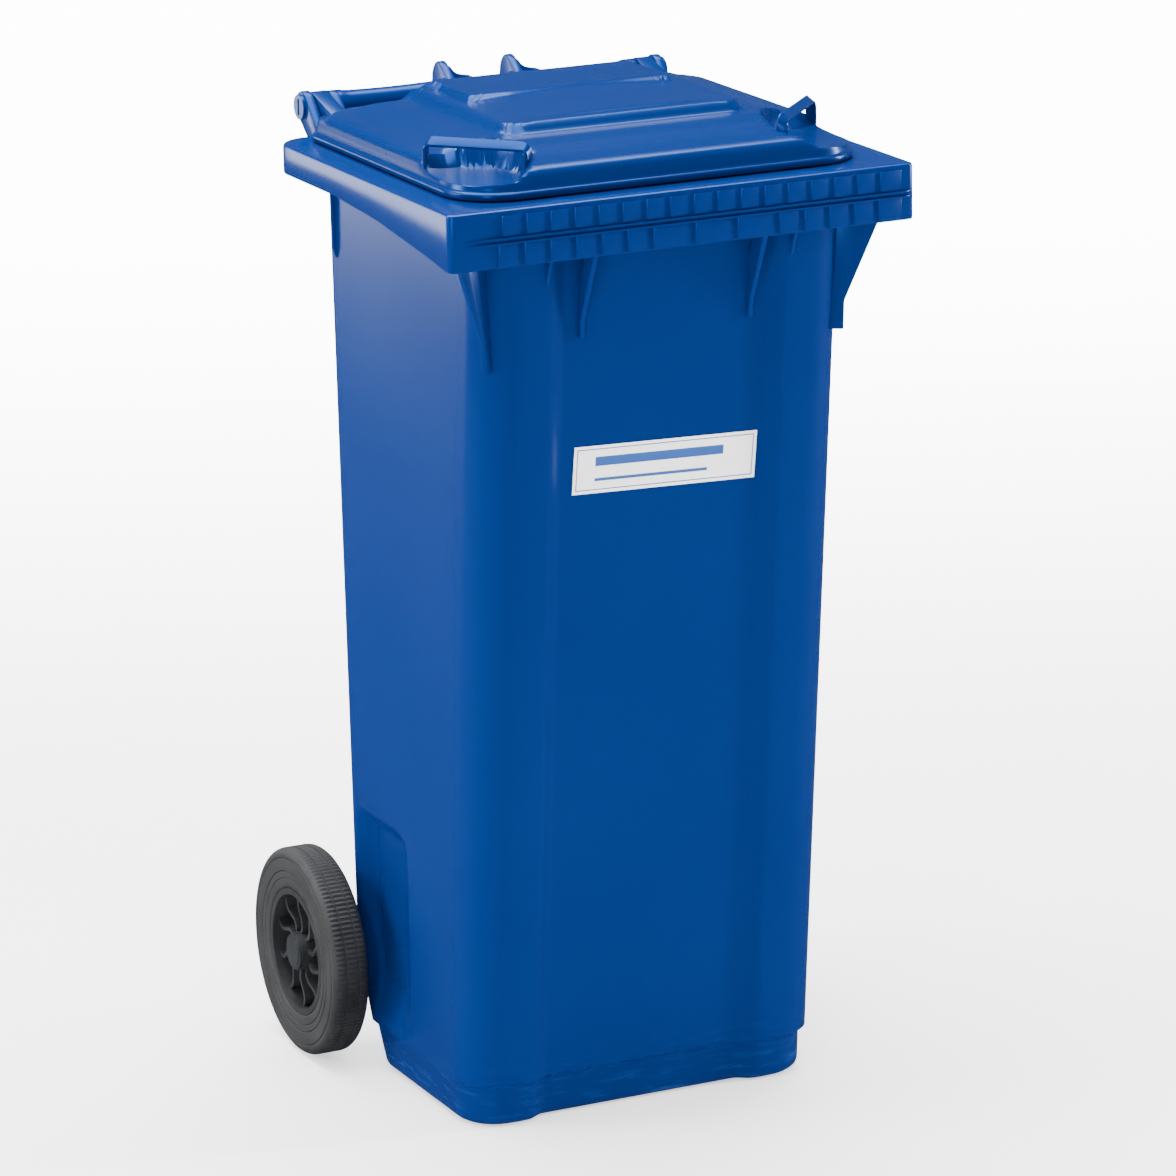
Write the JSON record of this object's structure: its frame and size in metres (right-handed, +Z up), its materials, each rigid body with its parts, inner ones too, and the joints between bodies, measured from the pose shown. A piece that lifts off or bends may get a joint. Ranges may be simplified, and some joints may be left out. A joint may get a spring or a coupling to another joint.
{
  "type": "wheelie bin",
  "caption": "Two-wheeled household waste bin with a tapered moulded tub, a comb rim for lifting, a domed hinged lid with corner grips, rear handle bars and solid-tyred wheels on a steel axle.",
  "frame": {"origin": "middle of the footprint on the ground: halfway across the width and halfway between the comb's face and the back of the tyres", "axes": "+X to the bin's right as seen from the front, -Y towards the front (the comb), +Z up"},
  "size_m": [0.482, 0.511, 0.9685],
  "materials": {
    "hdpe_body": "satin moulded polyethylene",
    "hdpe_lid": "satin moulded polyethylene",
    "pin_plastic": "satin moulded plastic",
    "axle_steel": "zinc-plated",
    "wheel_plastic": "satin moulded plastic",
    "tyre_rubber": "dull rubber",
    "cap_plastic": "satin moulded plastic",
    "label_film": "matt self-adhesive film"
  },
  "bodies": {
    "container": {"container_body": "hdpe_body", "hinge_pin_left": "pin_plastic", "hinge_pin_right": "pin_plastic", "axle": "axle_steel", "spacer_left": "wheel_plastic", "spacer_right": "wheel_plastic", "retaining_ring_left": "axle_steel", "retaining_ring_right": "axle_steel", "front_label": "label_film"},
    "lid": {"lid": "hdpe_lid"},
    "wheel_left": {"wheel_rim_left": "wheel_plastic", "tyre_left": "tyre_rubber", "hub_cap_left": "cap_plastic"},
    "wheel_right": {"wheel_rim_right": "wheel_plastic", "tyre_right": "tyre_rubber", "hub_cap_right": "cap_plastic"}
  },
  "joints": [
    {"name": "lid_hinge", "type": "hinge", "parent": "container", "child": "lid", "pos_m": [0, 0.1845, 0.934], "axis": [-1, 0, 0], "range_deg": [0, 250]},
    {"name": "wheel_spin_left", "type": "hinge", "parent": "container", "child": "wheel_left", "pos_m": [-0.221, 0.1525, 0.103], "axis": [1, 0, 0], "continuous": true},
    {"name": "wheel_spin_right", "type": "hinge", "parent": "container", "child": "wheel_right", "pos_m": [0.221, 0.1525, 0.103], "axis": [1, 0, 0], "continuous": true}
  ]
}
